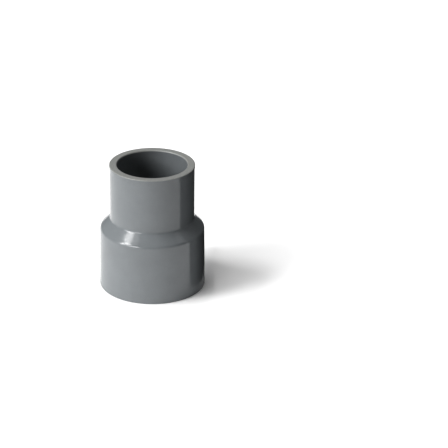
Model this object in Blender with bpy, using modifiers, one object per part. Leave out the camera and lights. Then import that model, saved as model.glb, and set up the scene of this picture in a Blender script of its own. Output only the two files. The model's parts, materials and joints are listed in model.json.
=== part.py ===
"""Concentric reducing coupling in rigid PVC, for cementing a 63 mm pipe to a 50 mm pipe.

The fitting is one injection moulding, so the model is one turned solid. It stands on the face of its
large end, with the origin at the centre of that face and +Z along the pipe axis.
"""

import math

import bpy
from mathutils import Vector

# Lengths along the axis, in metres, from the face of the large end.
OVERALL_LENGTH = 0.0920
LARGE_BARREL_LENGTH = 0.0439
SHOULDER_LENGTH = 0.0074

# Outside radii. The large barrel narrows from its mouth, and each mouth has a low raised lip.
LARGE_LIP_RADIUS = 0.03825
LARGE_BARREL_MOUTH_RADIUS = 0.03780
LARGE_BARREL_ROOT_RADIUS = 0.03715
SMALL_LIP_RADIUS = 0.03045
SMALL_BARREL_RADIUS = 0.03000
LIP_LENGTH = 0.0014
LIP_RUNOUT = 0.0020

# Sockets. Each root has its pipe's nominal radius, and each mouth is a little wider.
LARGE_SOCKET_RADIUS = 0.0315
LARGE_SOCKET_DEPTH = 0.0380
SMALL_SOCKET_RADIUS = 0.0250
SMALL_SOCKET_DEPTH = 0.0310
SOCKET_MOUTH_WIDENING = 0.0001

# Waterway between the two pipe stops.
STOP_WIDTH = 0.0030
INNER_TAPER_START = 0.0435
INNER_TAPER_LENGTH = 0.0070

# Edges.
MOUTH_EDGE_RADIUS = 0.0006
SHOULDER_EDGE_RADIUS = 0.0020
SHOULDER_ROOT_RADIUS = 0.0012
STOP_EDGE_RADIUS = 0.0006
LEAD_IN_WIDTH = 0.0006
LEAD_IN_DEPTH = 0.0012

TURN_STEPS = 96
ARC_STEPS = 3
MERGE_DISTANCE = 0.00001
SHARP_EDGE_ANGLE = math.radians(30)

COLLECTION_NAME = "concentric_reducer"
BODY_NAME = "reducer_body"
PVC_GREY = (0.22, 0.24, 0.25, 1.0)
PVC_ROUGHNESS = 0.36


def clear_scene():
    """Remove the scene's objects, so that the script gives the same result each time."""
    for old_object in list(bpy.data.objects):
        bpy.data.objects.remove(old_object, do_unlink=True)


def outside_corners():
    """The outside from the small mouth down to the large one, as (radius, height, edge radius)."""
    shoulder_top = LARGE_BARREL_LENGTH + SHOULDER_LENGTH
    small_lip_end = OVERALL_LENGTH - LIP_LENGTH
    return [
        (SMALL_LIP_RADIUS, OVERALL_LENGTH, MOUTH_EDGE_RADIUS),
        (SMALL_LIP_RADIUS, small_lip_end, 0.0),
        (SMALL_BARREL_RADIUS, small_lip_end - LIP_RUNOUT, 0.0),
        (SMALL_BARREL_RADIUS, shoulder_top, SHOULDER_ROOT_RADIUS),
        (LARGE_BARREL_ROOT_RADIUS, LARGE_BARREL_LENGTH, SHOULDER_EDGE_RADIUS),
        (LARGE_BARREL_MOUTH_RADIUS, LIP_LENGTH + LIP_RUNOUT, 0.0),
        (LARGE_LIP_RADIUS, LIP_LENGTH, 0.0),
        (LARGE_LIP_RADIUS, 0.0, MOUTH_EDGE_RADIUS),
    ]


def inside_corners():
    """The inside from the large mouth up to the small one, as (radius, height, edge radius)."""
    large_mouth = LARGE_SOCKET_RADIUS + SOCKET_MOUTH_WIDENING
    small_mouth = SMALL_SOCKET_RADIUS + SOCKET_MOUTH_WIDENING
    large_waterway = LARGE_SOCKET_RADIUS - STOP_WIDTH
    small_waterway = SMALL_SOCKET_RADIUS - STOP_WIDTH
    small_stop_height = OVERALL_LENGTH - SMALL_SOCKET_DEPTH
    return [
        (large_mouth + LEAD_IN_WIDTH, 0.0, 0.0),
        (large_mouth, LEAD_IN_DEPTH, 0.0),
        (LARGE_SOCKET_RADIUS, LARGE_SOCKET_DEPTH, 0.0),
        (large_waterway, LARGE_SOCKET_DEPTH, STOP_EDGE_RADIUS),
        (large_waterway, INNER_TAPER_START, 0.0),
        (small_waterway, INNER_TAPER_START + INNER_TAPER_LENGTH, 0.0),
        (small_waterway, small_stop_height, STOP_EDGE_RADIUS),
        (SMALL_SOCKET_RADIUS, small_stop_height, 0.0),
        (small_mouth, OVERALL_LENGTH - LEAD_IN_DEPTH, 0.0),
        (small_mouth + LEAD_IN_WIDTH, OVERALL_LENGTH, 0.0),
    ]


def rounded_corner(before, corner, after, edge_radius):
    """Points along the arc that rounds the corner between two straight lines."""
    towards_before = (before - corner).normalized()
    towards_after = (after - corner).normalized()
    half_angle = towards_before.angle(towards_after) / 2
    centre_direction = (towards_before + towards_after).normalized()
    centre = corner + centre_direction * edge_radius / math.sin(half_angle)
    tangent_length = edge_radius / math.tan(half_angle)
    start_direction = (corner + towards_before * tangent_length - centre).normalized()
    end_direction = (corner + towards_after * tangent_length - centre).normalized()
    arc = []
    for step in range(ARC_STEPS + 1):
        direction = start_direction.slerp(end_direction, step / ARC_STEPS)
        arc.append(centre + direction * edge_radius)
    return arc


def wall_section():
    """The wall's closed section, as points of radius and height, with its edges rounded."""
    corners = outside_corners() + inside_corners()
    positions = [Vector((radius, height)) for radius, height, edge_radius in corners]
    section = []
    for index, (radius, height, edge_radius) in enumerate(corners):
        if edge_radius > 0:
            before = positions[index - 1]
            after = positions[(index + 1) % len(positions)]
            section += rounded_corner(before, positions[index], after, edge_radius)
        else:
            section.append(positions[index])
    return section


def turned_solid(name, section, collection):
    """Turn a closed section about the Z axis into a solid."""
    mesh = bpy.data.meshes.new(name + "_section")
    vertices = [(point.x, 0.0, point.y) for point in section]
    edges = [(index, (index + 1) % len(section)) for index in range(len(section))]
    mesh.from_pydata(vertices, edges, [])
    solid = bpy.data.objects.new(name, mesh)
    collection.objects.link(solid)
    screw = solid.modifiers.new("turn", "SCREW")
    screw.axis = "Z"
    screw.angle = 2 * math.pi
    screw.steps = TURN_STEPS
    screw.render_steps = TURN_STEPS
    screw.use_merge_vertices = True
    screw.merge_threshold = MERGE_DISTANCE
    return solid


def shade_turned_solid(solid):
    """Keep the turned surface as the object's own mesh, smooth except at its sharp edges."""
    depsgraph = bpy.context.evaluated_depsgraph_get()
    turned_mesh = bpy.data.meshes.new_from_object(solid.evaluated_get(depsgraph))
    solid.modifiers.clear()
    solid.data = turned_mesh
    turned_mesh.shade_smooth()
    turned_mesh.set_sharp_from_angle(angle=SHARP_EDGE_ANGLE)


def grey_pvc():
    """Satin grey rigid PVC."""
    material = bpy.data.materials.new("grey_pvc")
    material.use_nodes = True
    shader = material.node_tree.nodes["Principled BSDF"]
    shader.inputs["Base Color"].default_value = PVC_GREY
    shader.inputs["Roughness"].default_value = PVC_ROUGHNESS
    shader.inputs["Metallic"].default_value = 0.0
    return material


def build_reducer():
    """Make the fitting in a collection of its own."""
    clear_scene()
    collection = bpy.data.collections.new(COLLECTION_NAME)
    bpy.context.scene.collection.children.link(collection)
    body = turned_solid(BODY_NAME, wall_section(), collection)
    shade_turned_solid(body)
    body.data.materials.append(grey_pvc())


build_reducer()
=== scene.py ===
"""Finished look of the concentric reducing coupling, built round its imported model."""

import json
import math

import bpy
from mathutils import Matrix, Vector, noise


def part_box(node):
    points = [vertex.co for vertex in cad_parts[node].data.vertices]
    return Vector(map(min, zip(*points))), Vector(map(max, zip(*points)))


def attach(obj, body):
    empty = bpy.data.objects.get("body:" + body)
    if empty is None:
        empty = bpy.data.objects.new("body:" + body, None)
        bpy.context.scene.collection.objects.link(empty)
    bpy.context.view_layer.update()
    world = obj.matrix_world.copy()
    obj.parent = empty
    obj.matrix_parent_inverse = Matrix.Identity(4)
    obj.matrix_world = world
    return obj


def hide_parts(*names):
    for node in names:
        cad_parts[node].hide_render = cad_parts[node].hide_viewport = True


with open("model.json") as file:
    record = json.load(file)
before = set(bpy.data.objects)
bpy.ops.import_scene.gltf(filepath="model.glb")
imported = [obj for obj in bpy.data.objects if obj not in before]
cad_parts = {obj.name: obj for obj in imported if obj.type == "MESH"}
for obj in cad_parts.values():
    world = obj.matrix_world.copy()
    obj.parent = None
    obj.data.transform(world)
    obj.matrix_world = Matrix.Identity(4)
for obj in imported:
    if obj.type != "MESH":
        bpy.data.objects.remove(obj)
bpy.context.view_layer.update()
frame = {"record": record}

NODE = "reducer_body"
LOW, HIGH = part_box(NODE)
MOUNTS = {mount["name"]: mount["pos_m"] for mount in frame["record"]["mounts"]}

# Outside. Lengths are in metres, and heights start at the face of the large end.
LENGTH = HIGH.z - LOW.z
LARGE_LIP_RADIUS = 0.03820
LARGE_BARREL_MOUTH_RADIUS = 0.03805
LARGE_BARREL_ROOT_RADIUS = 0.03740
SMALL_LIP_RADIUS = 0.03048
SMALL_BARREL_RADIUS = 0.03022
LARGE_BARREL_LENGTH = 0.0439
SHOULDER_LENGTH = 0.0074
LIP_LENGTH = 0.0014
LIP_RUNOUT = 0.0020

# Inside.
LARGE_STOP_HEIGHT = MOUNTS["large_pipe_stop"][2]
SMALL_STOP_HEIGHT = MOUNTS["small_pipe_stop"][2]
LARGE_SOCKET_RADIUS = 0.0315
SMALL_SOCKET_RADIUS = 0.0250
SOCKET_MOUTH_WIDENING = 0.0001
STOP_WIDTH = 0.0030
INNER_TAPER_START = 0.0435
INNER_TAPER_LENGTH = 0.0070
LEAD_IN_WIDTH = 0.0004
LEAD_IN_DEPTH = 0.0007

# Edge radii.
MOUTH_EDGE = 0.0005
FOOT_EDGE = 0.0003
LIP_EDGE = 0.0008
SHOULDER_EDGE = 0.0036
SHOULDER_ROOT = 0.0024
SOCKET_EDGE = 0.0003
STOP_EDGE = 0.0006
STOP_ROOT = 0.0004
TAPER_EDGE = 0.0030

# The two halves of the mould meet along two lines, on opposite sides. Each line is a thread of flash
# with a small step across it, and it ends in a trimmed notch at each mouth.
PARTING_ANGLE = math.radians(-10)
FLASH_HEIGHT = 0.00008
FLASH_HALF_WIDTH = 0.00022
HALF_MISMATCH = 0.00006
NOTCH_DEPTH = 0.00030
NOTCH_HALF_WIDTH = 0.00050
NOTCH_LENGTH = 1.6 * LIP_LENGTH

# Moulded walls aren't quite true: slow waves, longer along the axis than round it.
WAVE_HEIGHT = 0.00003
WAVE_LENGTH = 0.016
WAVE_STRETCH = 2.5

# Fineness of the mesh. Across a parting line it has steps of its own, in half-widths of the flash, and
# the even steps keep clear of them.
TURN_STEPS = 288
ARC_STEPS = 8
LONGEST_ROW = 0.0020
FINE_OFFSETS = (0.25, 0.5, 0.75, 1.0, 1.5, 2.2)
CLEAR_OFFSET = 3

# The surfaces, which are also the mesh's material indices.
OUTSIDE, FACE, INSIDE = range(3)

# The plastic. Tones multiply the grey. A pair in brackets is a lowest and a highest value. Scales are the
# textures' own, over positions in metres, and the heights of marks are in metres.
PVC_GREY = (0.166, 0.178, 0.185, 1.0)
PVC_IOR = 1.53
NOISE_LOW, NOISE_HIGH = 0.3, 0.7
MOTTLE_SCALE = 70
PEEL_SCALE, PEEL_HEIGHT = 900, 0.000006

OUTSIDE_TONES = (0.96, 1.04)
OUTSIDE_ROUGHNESS = (0.13, 0.16)
SPECK_SCALE, SPECK_TONES = 1400, (0.985, 1.015)
RUB_SCALE, RUB_STRETCH = 90, (1, 1, 0.35)

# The bores' grey is set below the outside's: painted shade inside the hollow, with a random spread.
INSIDE_SHADE_AND_MOTTLE_TONES = (0.73, 0.81)
INSIDE_ROUGHNESS = (0.29, 0.31)
DRAG_SCALE, DRAG_STRETCH, DRAG_HEIGHT = 260, (1, 1, 0.05), 0.000002

# The machined faces. Flatness is the normal's upward part: 1 on the end faces, less on the lead-ins.
FACE_GREY = (0.171, 0.175, 0.167, 1.0)
FACE_ROUGHNESS = 0.5
FLAT_TONE, FACE_FLATNESS = 0.87, 0.995
# Paler where flatness is low and darker on the flat faces: a painted highlight on the lead-ins and their
# edges.
SLOPE_HIGHLIGHT_TONE, SLOPE_FLATNESS = 1.22, 0.90
GRAIN_SCALE, GRAIN_TONES = 1100, (0.86, 1.14)
RING_SCALE, RING_HEIGHT = 520, 0.00003
TEAR_SCALE, TEAR_HEIGHT = 1300, 0.00003


def wall_corners():
    """The wall's section as (radius, height, edge radius, surface from here on), round its outline."""
    shoulder_top = LARGE_BARREL_LENGTH + SHOULDER_LENGTH
    small_lip_end = LENGTH - LIP_LENGTH
    large_mouth = LARGE_SOCKET_RADIUS + SOCKET_MOUTH_WIDENING
    small_mouth = SMALL_SOCKET_RADIUS + SOCKET_MOUTH_WIDENING
    large_waterway = LARGE_SOCKET_RADIUS - STOP_WIDTH
    small_waterway = SMALL_SOCKET_RADIUS - STOP_WIDTH
    outside = [
        (SMALL_LIP_RADIUS, LENGTH, MOUTH_EDGE, OUTSIDE),
        (SMALL_LIP_RADIUS, small_lip_end, LIP_EDGE, OUTSIDE),
        (SMALL_BARREL_RADIUS, small_lip_end - LIP_RUNOUT, LIP_EDGE, OUTSIDE),
        (SMALL_BARREL_RADIUS, shoulder_top, SHOULDER_ROOT, OUTSIDE),
        (LARGE_BARREL_ROOT_RADIUS, LARGE_BARREL_LENGTH, SHOULDER_EDGE, OUTSIDE),
        (LARGE_BARREL_MOUTH_RADIUS, LIP_LENGTH + LIP_RUNOUT, LIP_EDGE, OUTSIDE),
        (LARGE_LIP_RADIUS, LIP_LENGTH, LIP_EDGE, OUTSIDE),
        (LARGE_LIP_RADIUS, 0.0, FOOT_EDGE, FACE),
    ]
    inside = [
        (large_mouth + LEAD_IN_WIDTH, 0.0, SOCKET_EDGE, FACE),
        (large_mouth, LEAD_IN_DEPTH, SOCKET_EDGE, INSIDE),
        (LARGE_SOCKET_RADIUS, LARGE_STOP_HEIGHT, STOP_ROOT, INSIDE),
        (large_waterway, LARGE_STOP_HEIGHT, STOP_EDGE, INSIDE),
        (large_waterway, INNER_TAPER_START, TAPER_EDGE, INSIDE),
        (small_waterway, INNER_TAPER_START + INNER_TAPER_LENGTH, TAPER_EDGE, INSIDE),
        (small_waterway, SMALL_STOP_HEIGHT, STOP_EDGE, INSIDE),
        (SMALL_SOCKET_RADIUS, SMALL_STOP_HEIGHT, STOP_ROOT, INSIDE),
        (small_mouth, LENGTH - LEAD_IN_DEPTH, SOCKET_EDGE, FACE),
        (small_mouth + LEAD_IN_WIDTH, LENGTH, SOCKET_EDGE, FACE),
    ]
    return outside + inside


def rounded_corner(before, corner, after, edge_radius):
    """Points along the arc that rounds the corner between two straight lines."""
    towards_before = (before - corner).normalized()
    towards_after = (after - corner).normalized()
    half_angle = towards_before.angle(towards_after) / 2
    centre_direction = (towards_before + towards_after).normalized()
    centre = corner + centre_direction * edge_radius / math.sin(half_angle)
    tangent_length = edge_radius / math.tan(half_angle)
    start_direction = (corner + towards_before * tangent_length - centre).normalized()
    end_direction = (corner + towards_after * tangent_length - centre).normalized()
    arc = []
    for step in range(ARC_STEPS + 1):
        direction = start_direction.slerp(end_direction, step / ARC_STEPS)
        arc.append(centre + direction * edge_radius)
    return arc


def wall_section():
    """The closed section as points (radius, height), with the surface of the stretch after each point.

    A corner's arc belongs to the surface before the corner.
    """
    corners = wall_corners()
    positions = [Vector(corner[:2]) for corner in corners]
    arcs = []
    for index, corner in enumerate(corners):
        after = positions[(index + 1) % len(corners)]
        arcs.append(rounded_corner(positions[index - 1], positions[index], after, corner[2]))
    points, surfaces = [], []
    for index, arc in enumerate(arcs):
        surface_before, surface_after = corners[index - 1][3], corners[index][3]
        for point in arc[:-1]:
            points.append(point)
            surfaces.append(surface_before)
        straight_end = arcs[(index + 1) % len(arcs)][0]
        rows = max(1, math.ceil((straight_end - arc[-1]).length / LONGEST_ROW))
        for row in range(rows):
            points.append(arc[-1].lerp(straight_end, row / rows))
            surfaces.append(surface_after)
    return points, surfaces


def turn_angles():
    """Even steps round the axis, with fine ones across each parting line."""
    angles = [2 * math.pi * step / TURN_STEPS for step in range(TURN_STEPS)]
    half_width = FLASH_HALF_WIDTH / SMALL_BARREL_RADIUS
    for centre in (PARTING_ANGLE, PARTING_ANGLE + math.pi):
        clear = CLEAR_OFFSET * half_width
        angles = [angle for angle in angles if abs(angle_from(angle, centre)) > clear]
        angles.append(centre % (2 * math.pi))
        for offset in FINE_OFFSETS:
            angles.append((centre + offset * half_width) % (2 * math.pi))
            angles.append((centre - offset * half_width) % (2 * math.pi))
    return sorted(angles)


def angle_from(angle, centre):
    """The signed angle from centre, between -pi and pi."""
    return (angle - centre + math.pi) % (2 * math.pi) - math.pi


def smooth_bump(distance, half_width):
    """1 at the middle, falling smoothly to 0 at half_width."""
    share = min(1.0, abs(distance) / half_width)
    return (1 - share * share) ** 2


def outside_point(point, angle):
    """A point of the moulded outside, with its waves and its parting lines' flash, step and notches."""
    radius, height = point
    parting_angles = (PARTING_ANGLE, PARTING_ANGLE + math.pi)
    nearest = min((angle_from(angle, parting) for parting in parting_angles), key=abs)
    across = nearest * radius
    where = Vector((radius * math.cos(angle), radius * math.sin(angle), height / WAVE_STRETCH)) / WAVE_LENGTH
    radius += WAVE_HEIGHT * noise.noise(where)
    radius += FLASH_HEIGHT * smooth_bump(across, FLASH_HALF_WIDTH)
    near_mouth = max(smooth_bump(height, NOTCH_LENGTH), smooth_bump(LENGTH - height, NOTCH_LENGTH))
    radius -= NOTCH_DEPTH * near_mouth * smooth_bump(across, NOTCH_HALF_WIDTH)
    half = 1 if angle_from(angle, PARTING_ANGLE) > 0 else -1
    shift = half * HALF_MISMATCH / 2
    x = radius * math.cos(angle) + shift * math.cos(PARTING_ANGLE)
    y = radius * math.sin(angle) + shift * math.sin(PARTING_ANGLE)
    return x, y, height


def moulding_mesh(name):
    """The turned wall, with one material index for each of its surfaces."""
    points, surfaces = wall_section()
    angles = turn_angles()
    # The section starts at the small mouth's edge, and its last outside stretch ends on the point after.
    last_outside = max(index for index, surface in enumerate(surfaces) if surface == OUTSIDE) + 1
    vertices = []
    for angle in angles:
        for index, point in enumerate(points):
            if index <= last_outside:
                vertices.append(outside_point(point, angle))
            else:
                vertices.append((point.x * math.cos(angle), point.x * math.sin(angle), point.y))
    faces, face_surfaces = [], []
    count = len(points)
    for turn in range(len(angles)):
        here, there = turn * count, (turn + 1) % len(angles) * count
        for index in range(count):
            after = (index + 1) % count
            faces.append((here + index, here + after, there + after, there + index))
            face_surfaces.append(surfaces[index])
    mesh = bpy.data.meshes.new(name)
    mesh.from_pydata(vertices, [], faces)
    mesh.polygons.foreach_set("material_index", face_surfaces)
    mesh.validate()
    mesh.shade_smooth()
    return mesh


def add_node(tree, kind, **values):
    """A new node, with its properties and its inputs set by name."""
    node = tree.nodes.new(kind)
    for key, value in values.items():
        if hasattr(node, key):
            setattr(node, key, value)
        else:
            node.inputs[key.replace("_", " ")].default_value = value
    return node


def new_material(name):
    """A material with its node tree and its Principled shader."""
    material = bpy.data.materials.new(name)
    material.use_nodes = True
    return material, material.node_tree, material.node_tree.nodes["Principled BSDF"]


def stretched_position(tree, scale):
    """Object position in metres, stretched along its axes."""
    coordinates = add_node(tree, "ShaderNodeTexCoord")
    mapping = add_node(tree, "ShaderNodeMapping", Scale=scale)
    tree.links.new(coordinates.outputs["Object"], mapping.inputs["Vector"])
    return mapping.outputs["Vector"]


def noise_texture(tree, scale, detail=3.0, roughness=0.55, stretch=(1, 1, 1)):
    """Noise over the object's own position, about 0.5 on average."""
    texture = add_node(tree, "ShaderNodeTexNoise", Scale=scale, Detail=detail, Roughness=roughness)
    tree.links.new(stretched_position(tree, stretch), texture.inputs["Vector"])
    return texture.outputs["Fac"]


def remap(tree, value, low, high, start=NOISE_LOW, end=NOISE_HIGH):
    """value from start..end to low..high."""
    node = add_node(tree, "ShaderNodeMapRange")
    node.inputs["From Min"].default_value = start
    node.inputs["From Max"].default_value = end
    node.inputs["To Min"].default_value = low
    node.inputs["To Max"].default_value = high
    tree.links.new(value, node.inputs["Value"])
    return node.outputs["Result"]


def maths(tree, operation, *values):
    """One math node's result from one or two sockets."""
    node = add_node(tree, "ShaderNodeMath", operation=operation)
    for socket, value in zip(node.inputs, values):
        tree.links.new(value, socket)
    return node.outputs["Value"]


def tinted(tree, colour, brightness):
    """colour made lighter or darker by a value near 1."""
    node = add_node(tree, "ShaderNodeMix", data_type="RGBA", blend_type="MULTIPLY")
    node.inputs["Factor"].default_value = 1.0
    node.inputs["A"].default_value = colour
    tree.links.new(brightness, node.inputs["B"])
    return node.outputs["Result"]


def bump(tree, shader, layers):
    """Stacks bump layers of (height, distance in metres) on the shader."""
    normal = None
    for height, distance in layers:
        node = add_node(tree, "ShaderNodeBump", Strength=1.0, Distance=distance)
        tree.links.new(height, node.inputs["Height"])
        if normal is not None:
            tree.links.new(normal, node.inputs["Normal"])
        normal = node.outputs["Normal"]
    tree.links.new(normal, shader.inputs["Normal"])


def moulded_pvc():
    """The satin outside: faint mottling and specks, and fine orange peel from the mould."""
    material, tree, shader = new_material("moulded_pvc")
    shader.inputs["IOR"].default_value = PVC_IOR
    mottle = remap(tree, noise_texture(tree, MOTTLE_SCALE, detail=4), *OUTSIDE_TONES)
    specks = remap(tree, noise_texture(tree, SPECK_SCALE, detail=1), *SPECK_TONES)
    shade = maths(tree, "MULTIPLY", mottle, specks)
    tree.links.new(tinted(tree, PVC_GREY, shade), shader.inputs["Base Color"])
    rub = noise_texture(tree, RUB_SCALE, detail=2, stretch=RUB_STRETCH)
    tree.links.new(remap(tree, rub, *OUTSIDE_ROUGHNESS), shader.inputs["Roughness"])
    peel = noise_texture(tree, PEEL_SCALE, detail=2)
    bump(tree, shader, [(peel, PEEL_HEIGHT)])
    return material


def machined_pvc():
    """The matt end faces and lead-ins: warm, grainy, paler where they slope as a painted highlight, with
    rings from the cutter.
    """
    material, tree, shader = new_material("machined_pvc")
    shader.inputs["IOR"].default_value = PVC_IOR
    grain = remap(tree, noise_texture(tree, GRAIN_SCALE, detail=3, roughness=0.7), *GRAIN_TONES)
    normal = add_node(tree, "ShaderNodeTexCoord").outputs["Normal"]
    axes = add_node(tree, "ShaderNodeSeparateXYZ")
    tree.links.new(normal, axes.inputs["Vector"])
    flatness = maths(tree, "ABSOLUTE", axes.outputs["Z"])
    # Painted highlight: lighter where the face slopes, darker where it is flat.
    painted_slope_highlight = remap(tree, flatness, SLOPE_HIGHLIGHT_TONE, FLAT_TONE, start=SLOPE_FLATNESS, end=FACE_FLATNESS)
    shade = maths(tree, "MULTIPLY", grain, painted_slope_highlight)
    tree.links.new(tinted(tree, FACE_GREY, shade), shader.inputs["Base Color"])
    shader.inputs["Roughness"].default_value = FACE_ROUGHNESS
    rings = add_node(
        tree, "ShaderNodeTexWave",
        wave_type="RINGS", rings_direction="Z", Scale=RING_SCALE, Distortion=1.5, Detail=2.0,
    )
    tree.links.new(stretched_position(tree, (1, 1, 1)), rings.inputs["Vector"])
    tears = noise_texture(tree, TEAR_SCALE, detail=2)
    bump(tree, shader, [(rings.outputs["Fac"], RING_HEIGHT), (tears, TEAR_HEIGHT)])
    return material


def socket_pvc():
    """The bores: duller, and a little darker as painted shade in the hollow, with faint lengthwise marks
    from being drawn off the core.
    """
    material, tree, shader = new_material("socket_pvc")
    shader.inputs["IOR"].default_value = PVC_IOR
    # Darker than the outside: painted shade in the bore, with random mottling.
    mottle = remap(tree, noise_texture(tree, MOTTLE_SCALE, detail=4), *INSIDE_SHADE_AND_MOTTLE_TONES)
    tree.links.new(tinted(tree, PVC_GREY, mottle), shader.inputs["Base Color"])
    drag = noise_texture(tree, DRAG_SCALE, detail=2, stretch=DRAG_STRETCH)
    tree.links.new(remap(tree, drag, *INSIDE_ROUGHNESS), shader.inputs["Roughness"])
    peel = noise_texture(tree, PEEL_SCALE, detail=2)
    bump(tree, shader, [(drag, DRAG_HEIGHT), (peel, PEEL_HEIGHT)])
    return material


def make_reducer():
    """The fitting, in place of the faceted model's body."""
    mesh = moulding_mesh("reducer_moulding")
    for material in (moulded_pvc(), machined_pvc(), socket_pvc()):
        mesh.materials.append(material)
    moulding = bpy.data.objects.new("reducer_moulding", mesh)
    bpy.context.scene.collection.objects.link(moulding)
    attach(moulding, "root")
    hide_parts(NODE)


# The stage. The floor is a limited sheet: a wider one would throw light up onto the far shoulder. The
# camera sees white beyond it.
FLOOR_SIZE = 0.64
FLOOR_ALBEDO = 0.86
BACKDROP_WHITE = 1.0

# Far soft panels: azimuth, elevation and angle across in degrees, and irradiance in watts per square
# metre. Azimuth is from the camera's side (-Y) towards +X. The key lights the shoulder's highlight, the
# windows light the walls from the left, and the last three fill in from above, behind and the right.
PANELS = {
    "key": (-90, 54, 16, 1.08),
    "key_edge": (-74, 52, 14, 0.28),
    "key_soft": (-62, 56, 20, 0.12),
    "window_top": (-64, 40, 17, 0.95),
    "window": (-66, 20, 14, 0.75),
    "window_mid": (-50, 17, 16, 0.42),
    "window_front": (-34, 16, 18, 0.58),
    "window_wide": (-57, 12, 40, 0.45),
    "overhead": (0, 90, 45, 0.85),
    "back_wall": (180, 45, 80, 0.90),
    "far_side": (110, 40, 50, 0.22),
}

# A dark card beside the object, where a neighbour would darken its gloss and the soft light on it.
CARD_X = 0.045
CARD_FRONT, CARD_BACK = -0.025, 0.060
CARD_HEIGHT = 0.092
CARD_GREY = 0.05


def direction(azimuth, elevation):
    """The unit vector towards a place round the object."""
    azimuth, elevation = math.radians(azimuth), math.radians(elevation)
    level = math.cos(elevation)
    return Vector((math.sin(azimuth) * level, -math.cos(azimuth) * level, math.sin(elevation)))


def stage_plane(name, width, height, grey):
    """A flat matt sheet for the stage."""
    bpy.ops.mesh.primitive_plane_add(size=1)
    plane = bpy.context.object
    plane.name = name
    plane.scale = (width, height, 1)
    material, tree, shader = new_material(name)
    shader.inputs["Base Color"].default_value = (grey, grey, grey, 1)
    shader.inputs["Roughness"].default_value = 1.0
    shader.inputs["Specular IOR Level"].default_value = 0.0
    plane.data.materials.append(material)
    return plane


def make_floor():
    """A plain white floor under the object."""
    floor = stage_plane("white_floor", FLOOR_SIZE, FLOOR_SIZE, FLOOR_ALBEDO)
    floor.location.z = LOW.z


def make_card():
    """The dark card, out of the camera's sight, on the side away from the light."""
    card = stage_plane("dark_card", CARD_BACK - CARD_FRONT, CARD_HEIGHT, CARD_GREY)
    card.location = (CARD_X, (CARD_FRONT + CARD_BACK) / 2, LOW.z + CARD_HEIGHT / 2)
    card.rotation_euler = (math.pi / 2, 0, math.pi / 2)
    card.visible_camera = False
    card.visible_shadow = False


def make_world():
    """White behind everything, and dark to the light paths, so that the panels light the object."""
    world = bpy.data.worlds.new("studio")
    bpy.context.scene.world = world
    world.use_nodes = True
    tree = world.node_tree
    path = add_node(tree, "ShaderNodeLightPath")
    strength = remap(tree, path.outputs["Is Camera Ray"], 0, BACKDROP_WHITE, start=0, end=1)
    background = tree.nodes["Background"]
    background.inputs["Color"].default_value = (1, 1, 1, 1)
    tree.links.new(strength, background.inputs["Strength"])


def make_panels():
    """The soft lights."""
    for name, (azimuth, elevation, across, irradiance) in PANELS.items():
        data = bpy.data.lights.new(name, "SUN")
        data.energy = irradiance
        data.angle = math.radians(across)
        panel = bpy.data.objects.new(name, data)
        panel.rotation_euler = direction(azimuth, elevation).to_track_quat("Z", "Y").to_euler()
        bpy.context.scene.collection.objects.link(panel)


# The camera. It aims beside the object, which stands left of the middle of the picture.
CAMERA_AIM = Vector((0.0515, 0.0021, 0.0451))
CAMERA_DISTANCE = 1.2438
CAMERA_ELEVATION = 24.77
CAMERA_ROLL = math.radians(0.92)
LENS_MM, SENSOR_MM = 138.8, 36.0


def make_camera():
    """A long lens, a little above the fitting."""
    data = bpy.data.cameras.new("camera")
    data.lens, data.sensor_width = LENS_MM, SENSOR_MM
    camera = bpy.data.objects.new("camera", data)
    back = direction(0, CAMERA_ELEVATION)
    turn = back.to_track_quat("Z", "Y").to_matrix() @ Matrix.Rotation(CAMERA_ROLL, 3, "Z")
    camera.matrix_world = Matrix.Translation(CAMERA_AIM + back * CAMERA_DISTANCE) @ turn.to_4x4()
    bpy.context.scene.collection.objects.link(camera)
    bpy.context.scene.camera = camera


bpy.context.scene.view_settings.view_transform = "Standard"
bpy.context.scene.view_settings.look = "Medium High Contrast"
make_camera()
make_reducer()
make_floor()
make_card()
make_world()
make_panels()
